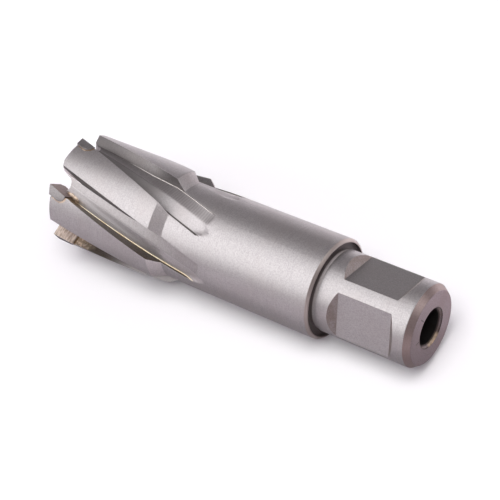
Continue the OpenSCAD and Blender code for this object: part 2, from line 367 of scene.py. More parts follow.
def grindCutters():  # take the trailing front corner off one land of every three
    foot = trailPoint(head["end"], fluteDepth + flute["floorSink"])
    rim = turned(trailTurn(head["end"]) + grind["reach"] / head["radius"], head["radius"], 0)
    length = np.linalg.norm(rim - foot)
    run = (rim - foot) / length
    off = trailPoint(head["end"], 0) - foot
    aside = off[0] * run[1] - off[1] * run[0]
    wide = aside + clear
    slope = grind["depth"] / aside
    outline = [(clear, slope * clear), (clear, 2 * clear), (-wide, 2 * clear), (-wide, -slope * wide)]
    pieces = []
    for i in range(0, teeth["count"], grind["set"]):
        turn = math.radians(teeth["pitch"] * (i - 1))

        def toPoint(x, y, z):
            place = foot + run * z + np.array([-run[1], run[0]]) * x
            return (*turned(turn, *place), head["end"] + y)

        pieces.append(extruded(f"grindCutter{i}", outline, toPoint, 0, length + clear, "gulletCut"))
    return pieces


def pocketCutter():
    tilt = math.atan(2 * math.pi * head["radius"] / flute["leadPitch"])
    front = head["end"] + pocket["tipAhead"]
    middle = front - pocket["tipLength"] * math.cos(tilt) / 2 + pocket["tipFace"] * math.sin(tilt)
    low = -pocket["tipLength"] / 2 - pocket["foot"]
    left = pocket["tipFace"] - pocket["tipThick"] - pocket["braze"]
    right = pocket["tipFace"] + pocket["braze"]
    top = pocket["tipLength"] + clear
    r = pocket["corner"] + pocket["braze"]
    arc = [(left + r - r * math.sin(t), low + r - r * math.cos(t))
           for t in np.linspace(0, math.pi / 2, pocket["cornerSteps"])]
    outline = [(right, top), (right, low)] + arc + [(left, top)]
    turn = leadTurn(middle)

    def toPoint(x, y, z):
        across = x * math.cos(tilt) + y * math.sin(tilt)
        along = -x * math.sin(tilt) + y * math.cos(tilt)
        return (*turned(turn, z, across), middle + along)

    return extruded("pocketCutter", outline, toPoint, core["slugRadius"] - pocket["past"],
                    head["radius"] + pocket["past"], "gulletCut")


def flatCutter(turn):
    run = flat["run"] * (flat["depth"] + clear) / flat["depth"]
    bottom, top = shank["radius"] - flat["depth"], shank["radius"] + clear
    end = flat["start"] + flat["length"]
    outline = [(bottom, flat["start"]), (top, flat["start"] - run), (top, end + run), (bottom, end)]

    def toPoint(x, y, z):
        return (*turned(math.radians(turn), x, z), y)

    piece = extruded("flatCutter", outline, toPoint, -2 * shank["radius"], 2 * shank["radius"], "flatWall")
    piece.data.polygons[len(outline) - 1].material_index = slotOf["flatFloor"]
    return piece


def coreCutter():
    floorAt = head["end"] - core["slugDepth"]
    profile = [(-core["past"], core["boreRadius"] + core["sink"] + core["past"]),
               (core["sink"], core["boreRadius"]), (floorAt - core["cone"], core["boreRadius"]),
               (floorAt, core["slugRadius"]), (head["end"] + clear, core["slugRadius"])]
    count = core["points"]
    points = [(*turned(2 * math.pi * j / count, r, 0), a) for a, r in profile for j in range(count)]
    faces, slots = [], []
    for i, name in enumerate(("boreSink", "boreInShade", "slugWall", "slugWall")):
        faces += band(i * count, count)
        slots += [slotOf[name]] * count
    faces += caps(count, len(profile))
    slots += [slotOf["boreInShade"]] * 2
    return newPiece("coreCutter", points, faces, slots)


def ringTree(name, material):  # turns copies of a piece about the tool's axis
    tree = bpy.data.node_groups.new(name, "GeometryNodeTree")
    for label, way, kind, value in (("Geometry", "INPUT", "Geometry", None),
                                    ("Count", "INPUT", "Int", teeth["count"]),
                                    ("Axis height", "INPUT", "Float", axisZ),
                                    ("Geometry", "OUTPUT", "Geometry", None)):
        socket = tree.interface.new_socket(label, in_out=way, socket_type="NodeSocket" + kind)
        if value is not None:
            socket.default_value = value
    add, link = tree.nodes.new, tree.links.new
    source, result = add("NodeGroupInput"), add("NodeGroupOutput")
    asOne = add("GeometryNodeGeometryToInstance")
    copies = add("GeometryNodeDuplicateElements")
    copies.domain = "INSTANCE"
    turn = add("GeometryNodeRotateInstances")
    turn.inputs["Local Space"].default_value = False
    last = add("GeometryNodeRealizeInstances")
    share = maths(tree, "DIVIDE", 2 * math.pi, source.outputs["Count"])
    angle = times(tree, copies.outputs["Duplicate Index"], share)
    link(source.outputs["Geometry"], asOne.inputs[0])
    link(asOne.outputs[0], copies.inputs["Geometry"])
    link(source.outputs["Count"], copies.inputs["Amount"])
    link(copies.outputs["Geometry"], turn.inputs["Instances"])
    link(joined(tree, angle, 0.0, 0.0), turn.inputs["Rotation"])
    link(joined(tree, 0.0, 0.0, source.outputs["Axis height"]), turn.inputs["Pivot Point"])
    link(turn.outputs[0], last.inputs[0])
    if material is not None:
        real, last = last, add("GeometryNodeSetMaterial")
        last.inputs["Material"].default_value = material
        link(real.outputs[0], last.inputs["Geometry"])
    link(last.outputs[0], result.inputs["Geometry"])
    return tree


def repeatRound(piece, material=None):
    modifier = piece.modifiers.new("round", "NODES")
    modifier.node_group = ringTree(piece.name + "Round", material)
    return settled(piece)


def cutAway(piece, cutters):
    for cutter in cutters:
        cut = piece.modifiers.new("cut", "BOOLEAN")
        cut.operation = "DIFFERENCE"
        cut.solver = "MANIFOLD"
        cut.object = cutter
    settled(piece)
    for cutter in cutters:
        bpy.data.objects.remove(cutter)


def shadeSoft(piece, sharpAngle):  # smooth faces with crisp edges, weighted by the size of the faces
    reworked(piece, weld)
    piece.data.shade_smooth()
    piece.data.set_sharp_from_angle(angle=math.radians(sharpAngle))
    weigh = piece.modifiers.new("weigh", "WEIGHTED_NORMAL")
    weigh.mode = "FACE_AREA"
    weigh.keep_sharp = True
    return settled(piece)


# node helpers for the materials
def newMaterial(name):
    material = bpy.data.materials.new(name)
    material.use_nodes = True
    tree = material.node_tree
    return material, tree, tree.nodes["Principled BSDF"]


def feed(tree, socket, value):
    if isinstance(value, bpy.types.NodeSocket):
        tree.links.new(value, socket)
    else:
        socket.default_value = value


def maths(tree, operation, first, second=0.0):
    node = tree.nodes.new("ShaderNodeMath")
    node.operation = operation
    feed(tree, node.inputs[0], first)
    feed(tree, node.inputs[1], second)
    return node.outputs[0]


def times(tree, first, *others):
    for other in others:
        first = maths(tree, "MULTIPLY", first, other)
    return first


def plus(tree, first, second):
    return maths(tree, "ADD", first, second)


def minus(tree, first, second):
    return maths(tree, "SUBTRACT", first, second)


def larger(tree, first, second):
    return maths(tree, "MAXIMUM", first, second)


def shared(tree, first, part, second):  # a part of the first and the rest of the second
    return plus(tree, times(tree, first, part), times(tree, second, 1 - part))


def distance(tree, x, y):
    return maths(tree, "SQRT", plus(tree, times(tree, x, x), times(tree, y, y)))


def ranged(tree, value, span, toLow, toHigh):  # a smooth change over a span
    node = tree.nodes.new("ShaderNodeMapRange")
    node.interpolation_type = "SMOOTHSTEP"
    feed(tree, node.inputs["Value"], value)
    for name, number in zip(("From Min", "From Max", "To Min", "To Max"), (*span, toLow, toHigh)):
        node.inputs[name].default_value = number
    return node.outputs["Result"]


def rising(tree, value, span, part=1.0):
    return ranged(tree, value, span, 0.0, part)


def falling(tree, value, span, part=1.0):
    return ranged(tree, value, span, part, 0.0)


def mixed(tree, factor, first, second):
    node = tree.nodes.new("ShaderNodeMix")
    node.data_type = "RGBA"
    feed(tree, node.inputs["Factor"], factor)
    for socket, colour in zip(node.inputs[6:8], (first, second)):  # its two colour sockets
        feed(tree, socket, colour if isinstance(colour, bpy.types.NodeSocket) else (*colour, 1))
    return node.outputs[2]


def joined(tree, x, y, z):
    node = tree.nodes.new("ShaderNodeCombineXYZ")
    for socket, value in zip(node.inputs, (x, y, z)):
        feed(tree, socket, value)
    return node.outputs[0]


def parted(tree, vector):
    node = tree.nodes.new("ShaderNodeSeparateXYZ")
    tree.links.new(vector, node.inputs[0])
    return node.outputs


def noise(tree, vector, scale, detail=2.0, rough=0.5):
    node = tree.nodes.new("ShaderNodeTexNoise")
    feed(tree, node.inputs["Vector"], vector)
    for name, number in (("Scale", scale), ("Detail", detail), ("Roughness", rough)):
        node.inputs[name].default_value = number
    return node.outputs["Fac"]


def toolPlace(tree):  # distance from the end face, turn about the axis and radius, in millimetres and degrees
    where = parted(tree, tree.nodes.new("ShaderNodeTexCoord").outputs["Object"])
    along = times(tree, minus(tree, endX, where["X"]), 1 / mm)
    side = times(tree, where["Y"], 1 / mm)
    up = times(tree, minus(tree, where["Z"], axisZ), 1 / mm)
    turn = times(tree, maths(tree, "ARCTAN2", side, up), 180 / math.pi)
    return {"along": along, "turn": minus(tree, turn, math.degrees(restTurn)),
            "radius": distance(tree, side, up), "spread": joined(tree, along, side, up)}


def lineNoise(tree, place, scales, detail=3.0, rough=0.6):  # tool lines along, round and in depth
    ways = zip(("along", "turn", "radius"), scales)
    stretched = joined(tree, *(times(tree, place[way], scale) for way, scale in ways))
    return noise(tree, stretched, 1.0, detail, rough)


def facing(tree, place, turn):  # one at a turn about the axis, falling away to both sides of it
    return maths(tree, "COSINE", times(tree, minus(tree, place["turn"], turn), math.pi / 180))


flutePlaces = {"behind": 15, "low": (-100, -80), "upper": (-20, -10)}  # degrees from the first leading edge


def pastLead(tree, place):  # degrees round from the first tooth's leading edge
    ahead = times(tree, minus(tree, place["along"], head["end"]), 360 / flute["leadPitch"])
    return minus(tree, minus(tree, place["turn"], ahead), flute["leadTurn"])


def fromLeadEdge(tree, place):  # degrees round from the nearest leading edge, the same on every tooth
    off = plus(tree, pastLead(tree, place), 360 + flutePlaces["behind"])
    return minus(tree, maths(tree, "MODULO", off, teeth["pitch"]), flutePlaces["behind"])


def onLowFlute(tree, place):  # one on the flute below the front one
    return falling(tree, pastLead(tree, place), flutePlaces["low"])


def onUpperFlute(tree, place):  # one on the uppermost flute, falling to none towards the one in front
    return rising(tree, pastLead(tree, place), flutePlaces["upper"])


def dress(tree, shader, colour, rough, metal, height, bump):
    feed(tree, shader.inputs["Base Color"], colour)
    feed(tree, shader.inputs["Roughness"], rough)
    shader.inputs["Metallic"].default_value = metal
    node = tree.nodes.new("ShaderNodeBump")
    node.inputs["Strength"].default_value = 1.0
    node.inputs["Distance"].default_value = bump * mm
    tree.links.new(height, node.inputs["Height"])
    tree.links.new(node.outputs["Normal"], shader.inputs["Normal"])


def machined(name, look, extra):  # a metal finish with tool lines, grain and slow changes of tone
    material, tree, shader = newMaterial(name)
    place = toolPlace(tree)
    lines = lineNoise(tree, place, look["lines"])
    grain = noise(tree, place["spread"], look["grainScale"], rough=look["grainRough"])
    cloud = noise(tree, place["spread"], look["cloudScale"])
    tone = shared(tree, lines, look["lineTone"], grain)
    colour = mixed(tree, rising(tree, tone, look["toneSpan"]), look["dark"], look["light"])
    colour = mixed(tree, rising(tree, cloud, look["cloudSpan"], look["cloud"]), colour, look["stain"])
    rough = plus(tree, times(tree, tone, look["roughSpread"]), look["rough"] - look["roughSpread"] / 2)
    height = shared(tree, lines, look["linePart"], grain)
    if extra is not None:
        colour, height = extra(tree, place, colour, height)
    dress(tree, shader, colour, rough, look["metal"], height, look["bump"])
    return material


def grey(level, warm=0.0):  # a steel tone, faintly lilac, with some warmth
    return (level * (1 + warm), level * 0.957, level * (0.975 - warm * 0.6))


# what the finishes have in common, then what each has of its own; lines are along, round and in depth
plainLook = {"cloud": 0.3, "metal": 1.0, "rough": 0.46, "roughSpread": 0.1, "linePart": 0.5,
             "lineTone": 0.4, "grainScale": 3.0, "grainRough": 0.6, "cloudScale": 0.2, "bump": 0.008,
             "toneSpan": (0.3, 0.7), "cloudSpan": (0.42, 0.68)}
looks = {
    "groundSteel": {"dark": grey(0.33, 0.01), "light": grey(0.48, 0.01), "stain": grey(0.37, 0.05),
                    "lines": (9.0, 0.05, 0.0), "grainScale": 3.4, "cloudScale": 0.12, "bump": 0.009},
    "turnedEnd": {"dark": (0.25, 0.204, 0.212), "light": (0.365, 0.3, 0.312), "stain": (0.24, 0.17, 0.16),
                  "lines": (6.0, 0.03, 8.0), "linePart": 0.7, "rough": 0.42, "cloudScale": 0.16,
                  "bump": 0.006},
    "flatFloor": {"dark": grey(0.33, 0.01), "light": grey(0.48, 0.01), "stain": grey(0.37, 0.05),
                  "lines": (0.5, 1.6, 0.0), "cloud": 0.25, "roughSpread": 0.08, "grainScale": 3.2,
                  "cloudScale": 0.14, "bump": 0.004},
    "flatWall": {"dark": grey(0.26, 0.1), "light": grey(0.37, 0.08), "stain": grey(0.17, 0.3),
                 "lines": (4.0, 0.4, 4.0), "cloud": 0.4, "rough": 0.44, "cloudScale": 0.3},
    # the flute floor's lighter tone is partly painted light
    "fluteFloor": {"dark": grey(0.4, 0.01), "light": grey(0.54, 0.01), "stain": grey(0.4, 0.06),
                   "lines": (0.5, 1.4, 0.0), "linePart": 0.6, "rough": 0.54, "grainScale": 3.4},
    "fluteStrip": {"dark": grey(0.29, 0.02), "light": grey(0.39, 0.02), "stain": grey(0.28, 0.06),
                   "lines": (1.5, 0.1, 0.0), "linePart": 0.4, "rough": 0.48, "grainScale": 3.4,
                   "bump": 0.02},
    # the leading walls' dark brownish tone is partly painted shade
    "leadWall": {"dark": (0.072, 0.063, 0.057), "light": (0.135, 0.117, 0.105),
                 "stain": (0.115, 0.09, 0.065), "lines": (0.8, 0.8, 5.0), "cloud": 0.5, "rough": 0.5,
                 "roughSpread": 0.12, "cloudScale": 0.25},
    "trailWall": {"dark": grey(0.18, 0.03), "light": grey(0.25, 0.03), "stain": grey(0.18, 0.08),
                  "lines": (4.0, 0.3, 0.5), "linePart": 0.6, "rough": 0.44, "roughSpread": 0.12,
                  "cloudScale": 0.25, "bump": 0.01},
    # the corner line's bright cream tone is braze gold and a painted highlight on the corner
    "cornerLine": {"dark": (0.74, 0.66, 0.5), "light": (0.9, 0.84, 0.7), "stain": (0.7, 0.55, 0.32),
                   "lines": (0.5, 1.4, 0.0), "cloud": 0.6, "rough": 0.38, "cloudScale": 0.3, "bump": 0.004},
    "gulletCut": {"dark": grey(0.34, 0.03), "light": grey(0.45, 0.03), "stain": grey(0.3, 0.15),
                  "lines": (3.0, 1.0, 0.5), "cloud": 0.4, "rough": 0.45, "cloudScale": 0.3, "bump": 0.006},
    "boreSink": {"dark": (0.16, 0.13, 0.13), "light": (0.25, 0.205, 0.21), "stain": (0.2, 0.14, 0.11),
                 "lines": (5.0, 0.05, 5.0), "linePart": 0.7, "cloud": 0.4, "rough": 0.36,
                 "roughSpread": 0.12, "grainScale": 2.0, "cloudScale": 0.35, "bump": 0.012},
    # painted shade: the bore's inside is painted near black
    "boreInShade": {"dark": grey(0.004, 0.1), "light": grey(0.012, 0.1), "stain": grey(0.006, 0.3),
                   "lines": (5.0, 0.03, 0.0), "linePart": 0.7, "cloud": 0.5, "metal": 0.0, "rough": 0.4,
                   "roughSpread": 0.12, "bump": 0.012},
    "slugWall": {"dark": grey(0.42, 0.03), "light": grey(0.55, 0.03), "stain": grey(0.4, 0.1),
                 "lines": (5.0, 0.03, 0.0), "linePart": 0.6, "cloud": 0.4, "metal": 0.5, "rough": 0.5,
                 "bump": 0.01},
    "stepCone": {"dark": grey(0.46, 0.02), "light": grey(0.62, 0.02), "stain": grey(0.5, 0.06),
                 "lines": (4.0, 0.3, 0.0), "grainScale": 3.4},
    "rootCut": {"dark": grey(0.3, 0.04), "light": grey(0.42, 0.04), "stain": grey(0.28, 0.12),
                "lines": (5.0, 0.05, 5.0), "linePart": 0.6, "metal": 0.2, "rough": 0.5},
}

endMarks = {"chamfer": (0.36, 0.27, 0.235), "chamferFrom": (0.03, 0.12), "chamferTo": (2.0, 2.2),
            "part": 0.45, "rim": (0.45, 0.395, 0.37), "rimSoft": 0.2, "rimPart": 0.9,
            "scratch": (0.06, 0.05, 0.05), "deep": 0.75, "wide": 0.2, "bottom": 0.06, "fadeIn": 0.3,
            "fadeOut": 0.5, "onFace": (0.03, 0.06), "places": [(-97, 4.9, 6.5), (-44, 4.9, 7.0)]}


def endWearAndLight(tree, place, colour, height):  # a browner chamfer and two scratches on the end, and a rim painted lighter and browner as painted light
    along, radius = place["along"], place["radius"]
    onChamfer = times(tree, rising(tree, along, endMarks["chamferFrom"], endMarks["part"]),
                      falling(tree, along, endMarks["chamferTo"]))
    colour = mixed(tree, onChamfer, colour, endMarks["chamfer"])
    rimSpan = (shank["rootStart"] - endMarks["rimSoft"], shank["rootStart"])
    colour = mixed(tree, rising(tree, along, rimSpan, endMarks["rimPart"]), colour, endMarks["rim"])
    for turn, near, far in endMarks["places"]:
        aside = maths(tree, "ABSOLUTE", minus(tree, place["turn"], turn))
        aside = times(tree, aside, radius, math.pi / 180)
        mask = times(tree, falling(tree, aside, (endMarks["bottom"], endMarks["wide"]), endMarks["deep"]),
                     rising(tree, radius, (near, near + endMarks["fadeIn"])),
                     falling(tree, radius, (far - endMarks["fadeOut"], far)),
                     falling(tree, along, endMarks["onFace"]))
        colour = mixed(tree, mask, colour, endMarks["scratch"])
    return colour, height


# painted shade tone for the undercut beside the root
undercutShade = {"tone": (0.085, 0.066, 0.062), "part": 0.9, "out": (0.1, 0.4), "deep": (0.05, 0.3)}


def shadeUndercut(tree, place, colour, height):  # painted shade: the undercut beside the root is painted dark
    outSpan = [shank["radius"] + out for out in undercutShade["out"]]
    deepSpan = [shoulderAt + deep for deep in undercutShade["deep"]]
    shadeMask = larger(tree, rising(tree, place["radius"], outSpan, undercutShade["part"]),
                    rising(tree, place["along"], deepSpan, undercutShade["part"]))
    return mixed(tree, shadeMask, colour, undercutShade["tone"]), height


upperFlatShade = {"tone": (0.17, 0.163, 0.158), "turns": (-50, -40), "part": 0.45}


def shadeUpperFlat(tree, place, colour, height):  # painted shade: the upper drive flat is painted darker than the front one
    upper = rising(tree, place["turn"], upperFlatShade["turns"], upperFlatShade["part"])
    return mixed(tree, upper, colour, upperFlatShade["tone"]), height


sinkShadeAndGlintTones = {"dark": (0.05, 0.04, 0.036), "rimAt": (4.55, 4.7), "rim": 0.75, "footAt": (4.26, 4.42),
             "foot": 0.9, "paintedGlint": (0.85, 0.66, 0.45), "turn": 160, "glintAt": (0.86, 0.99), "glint": 0.8,
             "patchScale": 0.7, "patches": (0.3, 0.6), "least": 0.4}


def sinkShadeAndGlint(tree, place, colour, height):  # painted shade as a dark rim and foot, and a painted golden glint low in the countersink
    rim = rising(tree, place["radius"], sinkShadeAndGlintTones["rimAt"], sinkShadeAndGlintTones["rim"])
    foot = falling(tree, place["radius"], sinkShadeAndGlintTones["footAt"], sinkShadeAndGlintTones["foot"])
    colour = mixed(tree, larger(tree, rim, foot), colour, sinkShadeAndGlintTones["dark"])
    glint = rising(tree, facing(tree, place, sinkShadeAndGlintTones["turn"]), sinkShadeAndGlintTones["glintAt"], sinkShadeAndGlintTones["glint"])
    patches = ranged(tree, noise(tree, place["spread"], sinkShadeAndGlintTones["patchScale"]), sinkShadeAndGlintTones["patches"],
                     sinkShadeAndGlintTones["least"], 1.0)
    paintedGlint = times(tree, glint, patches, minus(tree, 1.0, foot))
    return mixed(tree, paintedGlint, colour, sinkShadeAndGlintTones["paintedGlint"]), height


smear = {"tan": (0.6, 0.48, 0.34), "brown": (0.17, 0.12, 0.075), "cream": (0.8, 0.66, 0.51),
         "along": (85.5, 91.0), "round": (0.0, 4.0), "wander": 5.0, "raggedScale": 1.1, "blotchScale": 1.7,
         "blotch": (0.42, 0.6), "wall": (11.2, 11.6), "onWall": 0.4, "least": 0.4}


def brazeSmear(tree, place, colour, height):  # tan braze that ran from a tip over the steel behind it, painted paler cream on the lowest flute as painted light
    ragged = noise(tree, place["spread"], smear["raggedScale"], 3.0, 0.6)
    wander = times(tree, minus(tree, ragged, 0.5), smear["wander"])
    onLength = rising(tree, plus(tree, place["along"], wander), smear["along"])
    onWidth = falling(tree, plus(tree, fromLeadEdge(tree, place), wander), smear["round"])
    low = onLowFlute(tree, place)
    thin = ranged(tree, place["radius"], smear["wall"], 1.0, smear["onWall"])
    blotch = rising(tree, noise(tree, place["spread"], smear["blotchScale"]), smear["blotch"])
    blotch = times(tree, blotch, larger(tree, thin, low))
    blotch = larger(tree, blotch, times(tree, low, smear["least"]))
    pale = mixed(tree, low, smear["tan"], smear["cream"])
    spilt = mixed(tree, blotch, smear["brown"], pale)
    return mixed(tree, times(tree, onLength, onWidth), colour, spilt), height


lowWall = {"tone": grey(0.42, 0.03), "along": (75, 84), "part": 0.8}


def paleWall(tree, place, colour, height):  # painted light: the lowest leading wall in front is painted paler towards the step
    pale = falling(tree, place["along"], lowWall["along"], lowWall["part"])
    colour = mixed(tree, times(tree, pale, onLowFlute(tree, place)), colour, lowWall["tone"])
    return brazeSmear(tree, place, colour, height)


bright = {"tone": grey(0.85), "round": (2.0, 11.0), "along": (64, 76), "part": 0.75}
floorShade = {"tone": (0.13, 0.12, 0.118), "along": (60.5, 74), "part": 0.75, "line": (0.06, 0.05, 0.045),
              "lineRound": (-1.2, -0.3), "linePart": 0.85}


def floorCut(tree, place, colour, height):  # painted light by the leading wall in front; painted shade and a painted dark line by the leading edge in the upper flute
    upper = onUpperFlute(tree, place)
    offEdge = fromLeadEdge(tree, place)
    near = times(tree, falling(tree, offEdge, bright["round"], bright["part"]),
                 rising(tree, place["along"], bright["along"]), minus(tree, 1.0, upper))
    colour = mixed(tree, near, colour, bright["tone"])
    inShade = rising(tree, place["along"], floorShade["along"], floorShade["part"])
    colour = mixed(tree, times(tree, inShade, upper), colour, floorShade["tone"])
    line = falling(tree, offEdge, floorShade["lineRound"], floorShade["linePart"])
    colour = mixed(tree, times(tree, line, upper), colour, floorShade["line"])
    return brazeSmear(tree, place, colour, height)


footShade = {"tone": (0.07, 0.062, 0.062), "radius": (11.3, 11.8), "part": 0.75, "along": (77, 84),
             "line": (0.85, 0.8, 0.76), "lineRadius": (11.34, 11.47), "linePart": 0.9}
wallShade = {"tone": grey(0.08, 0.04), "along": (75, 92), "part": 0.5}
wallLightPatch = {"tone": grey(0.95, 0.02), "from": 88, "back": 11.2, "front": 12.8, "soft": 0.15, "part": 0.9}


def darkFoot(tree, place, colour, height):  # painted shade darkens the wall down to its foot and, in the upper flute, towards the front; a painted light patch at its front and a painted highlight line along its foot
    upper = onUpperFlute(tree, place)
    lit = times(tree, falling(tree, place["along"], footShade["along"]), upper)
    near = falling(tree, place["radius"], footShade["radius"], footShade["part"])
    colour = mixed(tree, times(tree, near, minus(tree, 1.0, lit)), colour, footShade["tone"])
    inShade = rising(tree, place["along"], wallShade["along"], wallShade["part"])
    colour = mixed(tree, times(tree, inShade, upper), colour, wallShade["tone"])
    patchTop = ranged(tree, place["along"], (wallLightPatch["from"], head["end"]), wallLightPatch["back"], wallLightPatch["front"])
    under = minus(tree, place["radius"], patchTop)
    lightPatch = falling(tree, under, (-wallLightPatch["soft"], 0.0), wallLightPatch["part"])
    colour = mixed(tree, times(tree, lightPatch, minus(tree, 1.0, upper)), colour, wallLightPatch["tone"])
    line = falling(tree, place["radius"], footShade["lineRadius"], footShade["linePart"])
    return mixed(tree, times(tree, line, lit), colour, footShade["line"]), height


cornerInShade = (0.1, 0.09, 0.085)


def cornerCut(tree, place, colour, height):  # the corner keeps its painted highlight in the front flute and is painted into shade above
    colour = mixed(tree, onUpperFlute(tree, place), colour, cornerInShade)
    return brazeSmear(tree, place, colour, height)


stripLift = {"tone": grey(0.75, 0.02), "along": (60, 72), "part": 0.25}
millMarks = {"pitch": 0.72, "slant": 0.03, "wobble": 0.3, "wobbleScale": 0.5, "height": 0.3,
             "dark": (0.18, 0.17, 0.17), "shade": 0.28, "along": (64, 80), "least": 0.15, "side": -20,
             "facing": (-0.2, 0.8), "away": 0.25}


def millRipple(tree, place, colour, height):  # fine cutter marks across the strip by the trailing wall, and painted light lifting the upper strip towards its run-out
    upper = onUpperFlute(tree, place)
    lift = falling(tree, place["along"], stripLift["along"], stripLift["part"])
    colour = mixed(tree, times(tree, upper, lift), colour, stripLift["tone"])
    slanted = plus(tree, place["along"], times(tree, place["turn"], millMarks["slant"]))
    wobble = times(tree, noise(tree, place["spread"], millMarks["wobbleScale"]), millMarks["wobble"])
    phase = times(tree, plus(tree, slanted, wobble), 2 * math.pi / millMarks["pitch"])
    inFront = facing(tree, place, millMarks["side"])
    fade = times(tree, ranged(tree, place["along"], millMarks["along"], 1.0, millMarks["least"]),
                 ranged(tree, inFront, millMarks["facing"], millMarks["away"], 1.0),
                 ranged(tree, upper, (0.0, 1.0), millMarks["least"], 1.0))
    dips = times(tree, rising(tree, maths(tree, "SINE", phase), (-1.0, 1.0)), fade)
    colour = mixed(tree, times(tree, dips, millMarks["shade"]), colour, millMarks["dark"])
    return colour, plus(tree, height, times(tree, dips, millMarks["height"]))


extras = {"fluteFloor": floorCut, "leadWall": paleWall, "cornerLine": cornerCut, "fluteStrip": millRipple,
          "trailWall": darkFoot, "turnedEnd": endWearAndLight, "boreSink": sinkShadeAndGlint, "flatFloor": shadeUpperFlat,
          "rootCut": shadeUndercut}
bodyMaterials = [machined(name, {**plainLook, **looks[name]}, extras.get(name)) for name in finishes]
print("materials of the body:", len(bodyMaterials))

carbide = {"dark": (0.22, 0.205, 0.205), "light": (0.305, 0.288, 0.29), "lines": (1.0, 1.0, 7.0),
           "linePart": 0.5, "grainScale": 4.0, "toneSpan": (0.35, 0.65), "rough": (0.43, 0.56),
           "roughSpan": (0.3, 0.7), "metal": 1.0, "bump": 0.005, "rakeDark": (0.36, 0.28, 0.23),
           "rakeLight": (0.68, 0.58, 0.51), "stripes": (2.2, 0.0, 0.5), "rakeInShade": (0.17, 0.125, 0.12),
           "shadeTurns": (-100, -85), "shadePart": 0.85, "rakeFrom": (0.75, 0.85), "edge": (0.7, 0.67, 0.68),
           "edgeFrom": (0.3, 0.45), "edgeTo": (0.75, 0.9), "edgePart": 0.8, "bevel": 0.11, "bevelAngle": 30,
           "bevelSteps": 2, "sharp": 50}


def facingAhead(tree, place):  # one on the faces that look the way the tool turns, none on those beside them
    normal = parted(tree, tree.nodes.new("ShaderNodeNewGeometry").outputs["Normal"])
    angle = times(tree, plus(tree, place["turn"], math.degrees(restTurn)), math.pi / 180)
    return minus(tree, times(tree, normal["Y"], maths(tree, "COSINE", angle)),
                 times(tree, normal["Z"], maths(tree, "SINE", angle)))


def carbideLook():  # ground grey, with a striped tan film on the rake faces, painted shade on the film of the upper tips, and painted highlights on the edges
    material, tree, shader = newMaterial("groundCarbide")
    place = toolPlace(tree)
    grain = noise(tree, place["spread"], carbide["grainScale"])
    tone = shared(tree, lineNoise(tree, place, carbide["lines"]), carbide["linePart"], grain)
    ground = mixed(tree, rising(tree, tone, carbide["toneSpan"]), carbide["dark"], carbide["light"])
    stripes = rising(tree, lineNoise(tree, place, carbide["stripes"], 2.0, 0.5), carbide["toneSpan"])
    film = mixed(tree, stripes, carbide["rakeDark"], carbide["rakeLight"])
    inShade = rising(tree, place["turn"], carbide["shadeTurns"], carbide["shadePart"])
    film = mixed(tree, inShade, film, carbide["rakeInShade"])
    ahead = facingAhead(tree, place)
    colour = mixed(tree, rising(tree, ahead, carbide["rakeFrom"]), ground, film)
    onEdgeHighlight = times(tree, rising(tree, ahead, carbide["edgeFrom"]),
                   falling(tree, ahead, carbide["edgeTo"], carbide["edgePart"]))
    colour = mixed(tree, onEdgeHighlight, colour, carbide["edge"])
    rough = ranged(tree, tone, carbide["roughSpan"], *carbide["rough"])
    dress(tree, shader, colour, rough, carbide["metal"], tone, carbide["bump"])
    return material


braze = {"dark": (0.39, 0.285, 0.2), "light": (0.62, 0.51, 0.415), "lumpScale": 1.6, "lumpPart": 0.7,
         "grainScale": 5.0, "toneSpan": (0.35, 0.62), "rough": (0.6, 0.44), "roughSpan": (0.3, 0.7),
         "metal": 0.85, "bump": 0.03, "inShade": (0.27, 0.2, 0.15), "shadeTurns": (-50, -30), "shadePart": 0.75,
         "brown": (0.13, 0.085, 0.05), "brownFrom": (0.75, 0.85), "sharp": 40}


def brazeLook():  # lumpy tan alloy, brown on the faces that look ahead, with painted shade on the seams on one side of the tool
    material, tree, shader = newMaterial("brazeAlloy")
    place = toolPlace(tree)
    lumps = noise(tree, place["spread"], braze["lumpScale"], 3.0, 0.6)
    tone = shared(tree, lumps, braze["lumpPart"], noise(tree, place["spread"], braze["grainScale"]))
    alloy = mixed(tree, rising(tree, tone, braze["toneSpan"]), braze["dark"], braze["light"])
    inShade = rising(tree, place["turn"], braze["shadeTurns"], braze["shadePart"])
    alloy = mixed(tree, inShade, alloy, braze["inShade"])
    brown = rising(tree, facingAhead(tree, place), braze["brownFrom"])
    rough = ranged(tree, tone, braze["roughSpan"], *braze["rough"])
    dress(tree, shader, mixed(tree, brown, alloy, braze["brown"]), rough, braze["metal"], tone, braze["bump"])
    return material


# the steel body
body = buildBody()
cutters = [coreCutter(), repeatRound(gulletCutter()), repeatRound(pocketCutter()), flatCutter(flat["turn"]),
           flatCutter(flat["turn"] - flat["apart"])] + grindCutters()
for piece in [body] + cutters:
    for material in bodyMaterials:
        piece.data.materials.append(material)
cutAway(body, cutters)
shadeSoft(body, edges["sharp"])
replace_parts(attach(body, "root"), "cutter_body")
print("cutter body:", len(body.data.polygons), "faces")

nodeFlat = 0.5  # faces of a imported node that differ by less, in degrees, become one


def copyOfNode(node, name):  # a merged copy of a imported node's mesh
    mesh = frame["nodes"][node].data.copy()
    mesh.materials.clear()
    piece = bpy.data.objects.new(name, mesh)
    scene.collection.objects.link(piece)

    def merge(work):
        bmesh.ops.remove_doubles(work, verts=work.verts, dist=weldReach)
        bmesh.ops.dissolve_limit(work, angle_limit=math.radians(nodeFlat), verts=work.verts, edges=work.edges)

    return reworked(piece, merge)


def softEdges(piece):
    bevel = piece.modifiers.new("softEdges", "BEVEL")
    bevel.width = carbide["bevel"] * mm
    bevel.segments = carbide["bevelSteps"]
    bevel.limit_method = "ANGLE"
    bevel.angle_limit = math.radians(carbide["bevelAngle"])
    return settled(piece)


pool = {"middle": 91.0, "long": 1.9, "wide": 0.75, "high": 0.28, "aside": 0.65, "rings": 16, "points": 24,
        "lump": 0.14, "waves": (4.3, 7.1)}


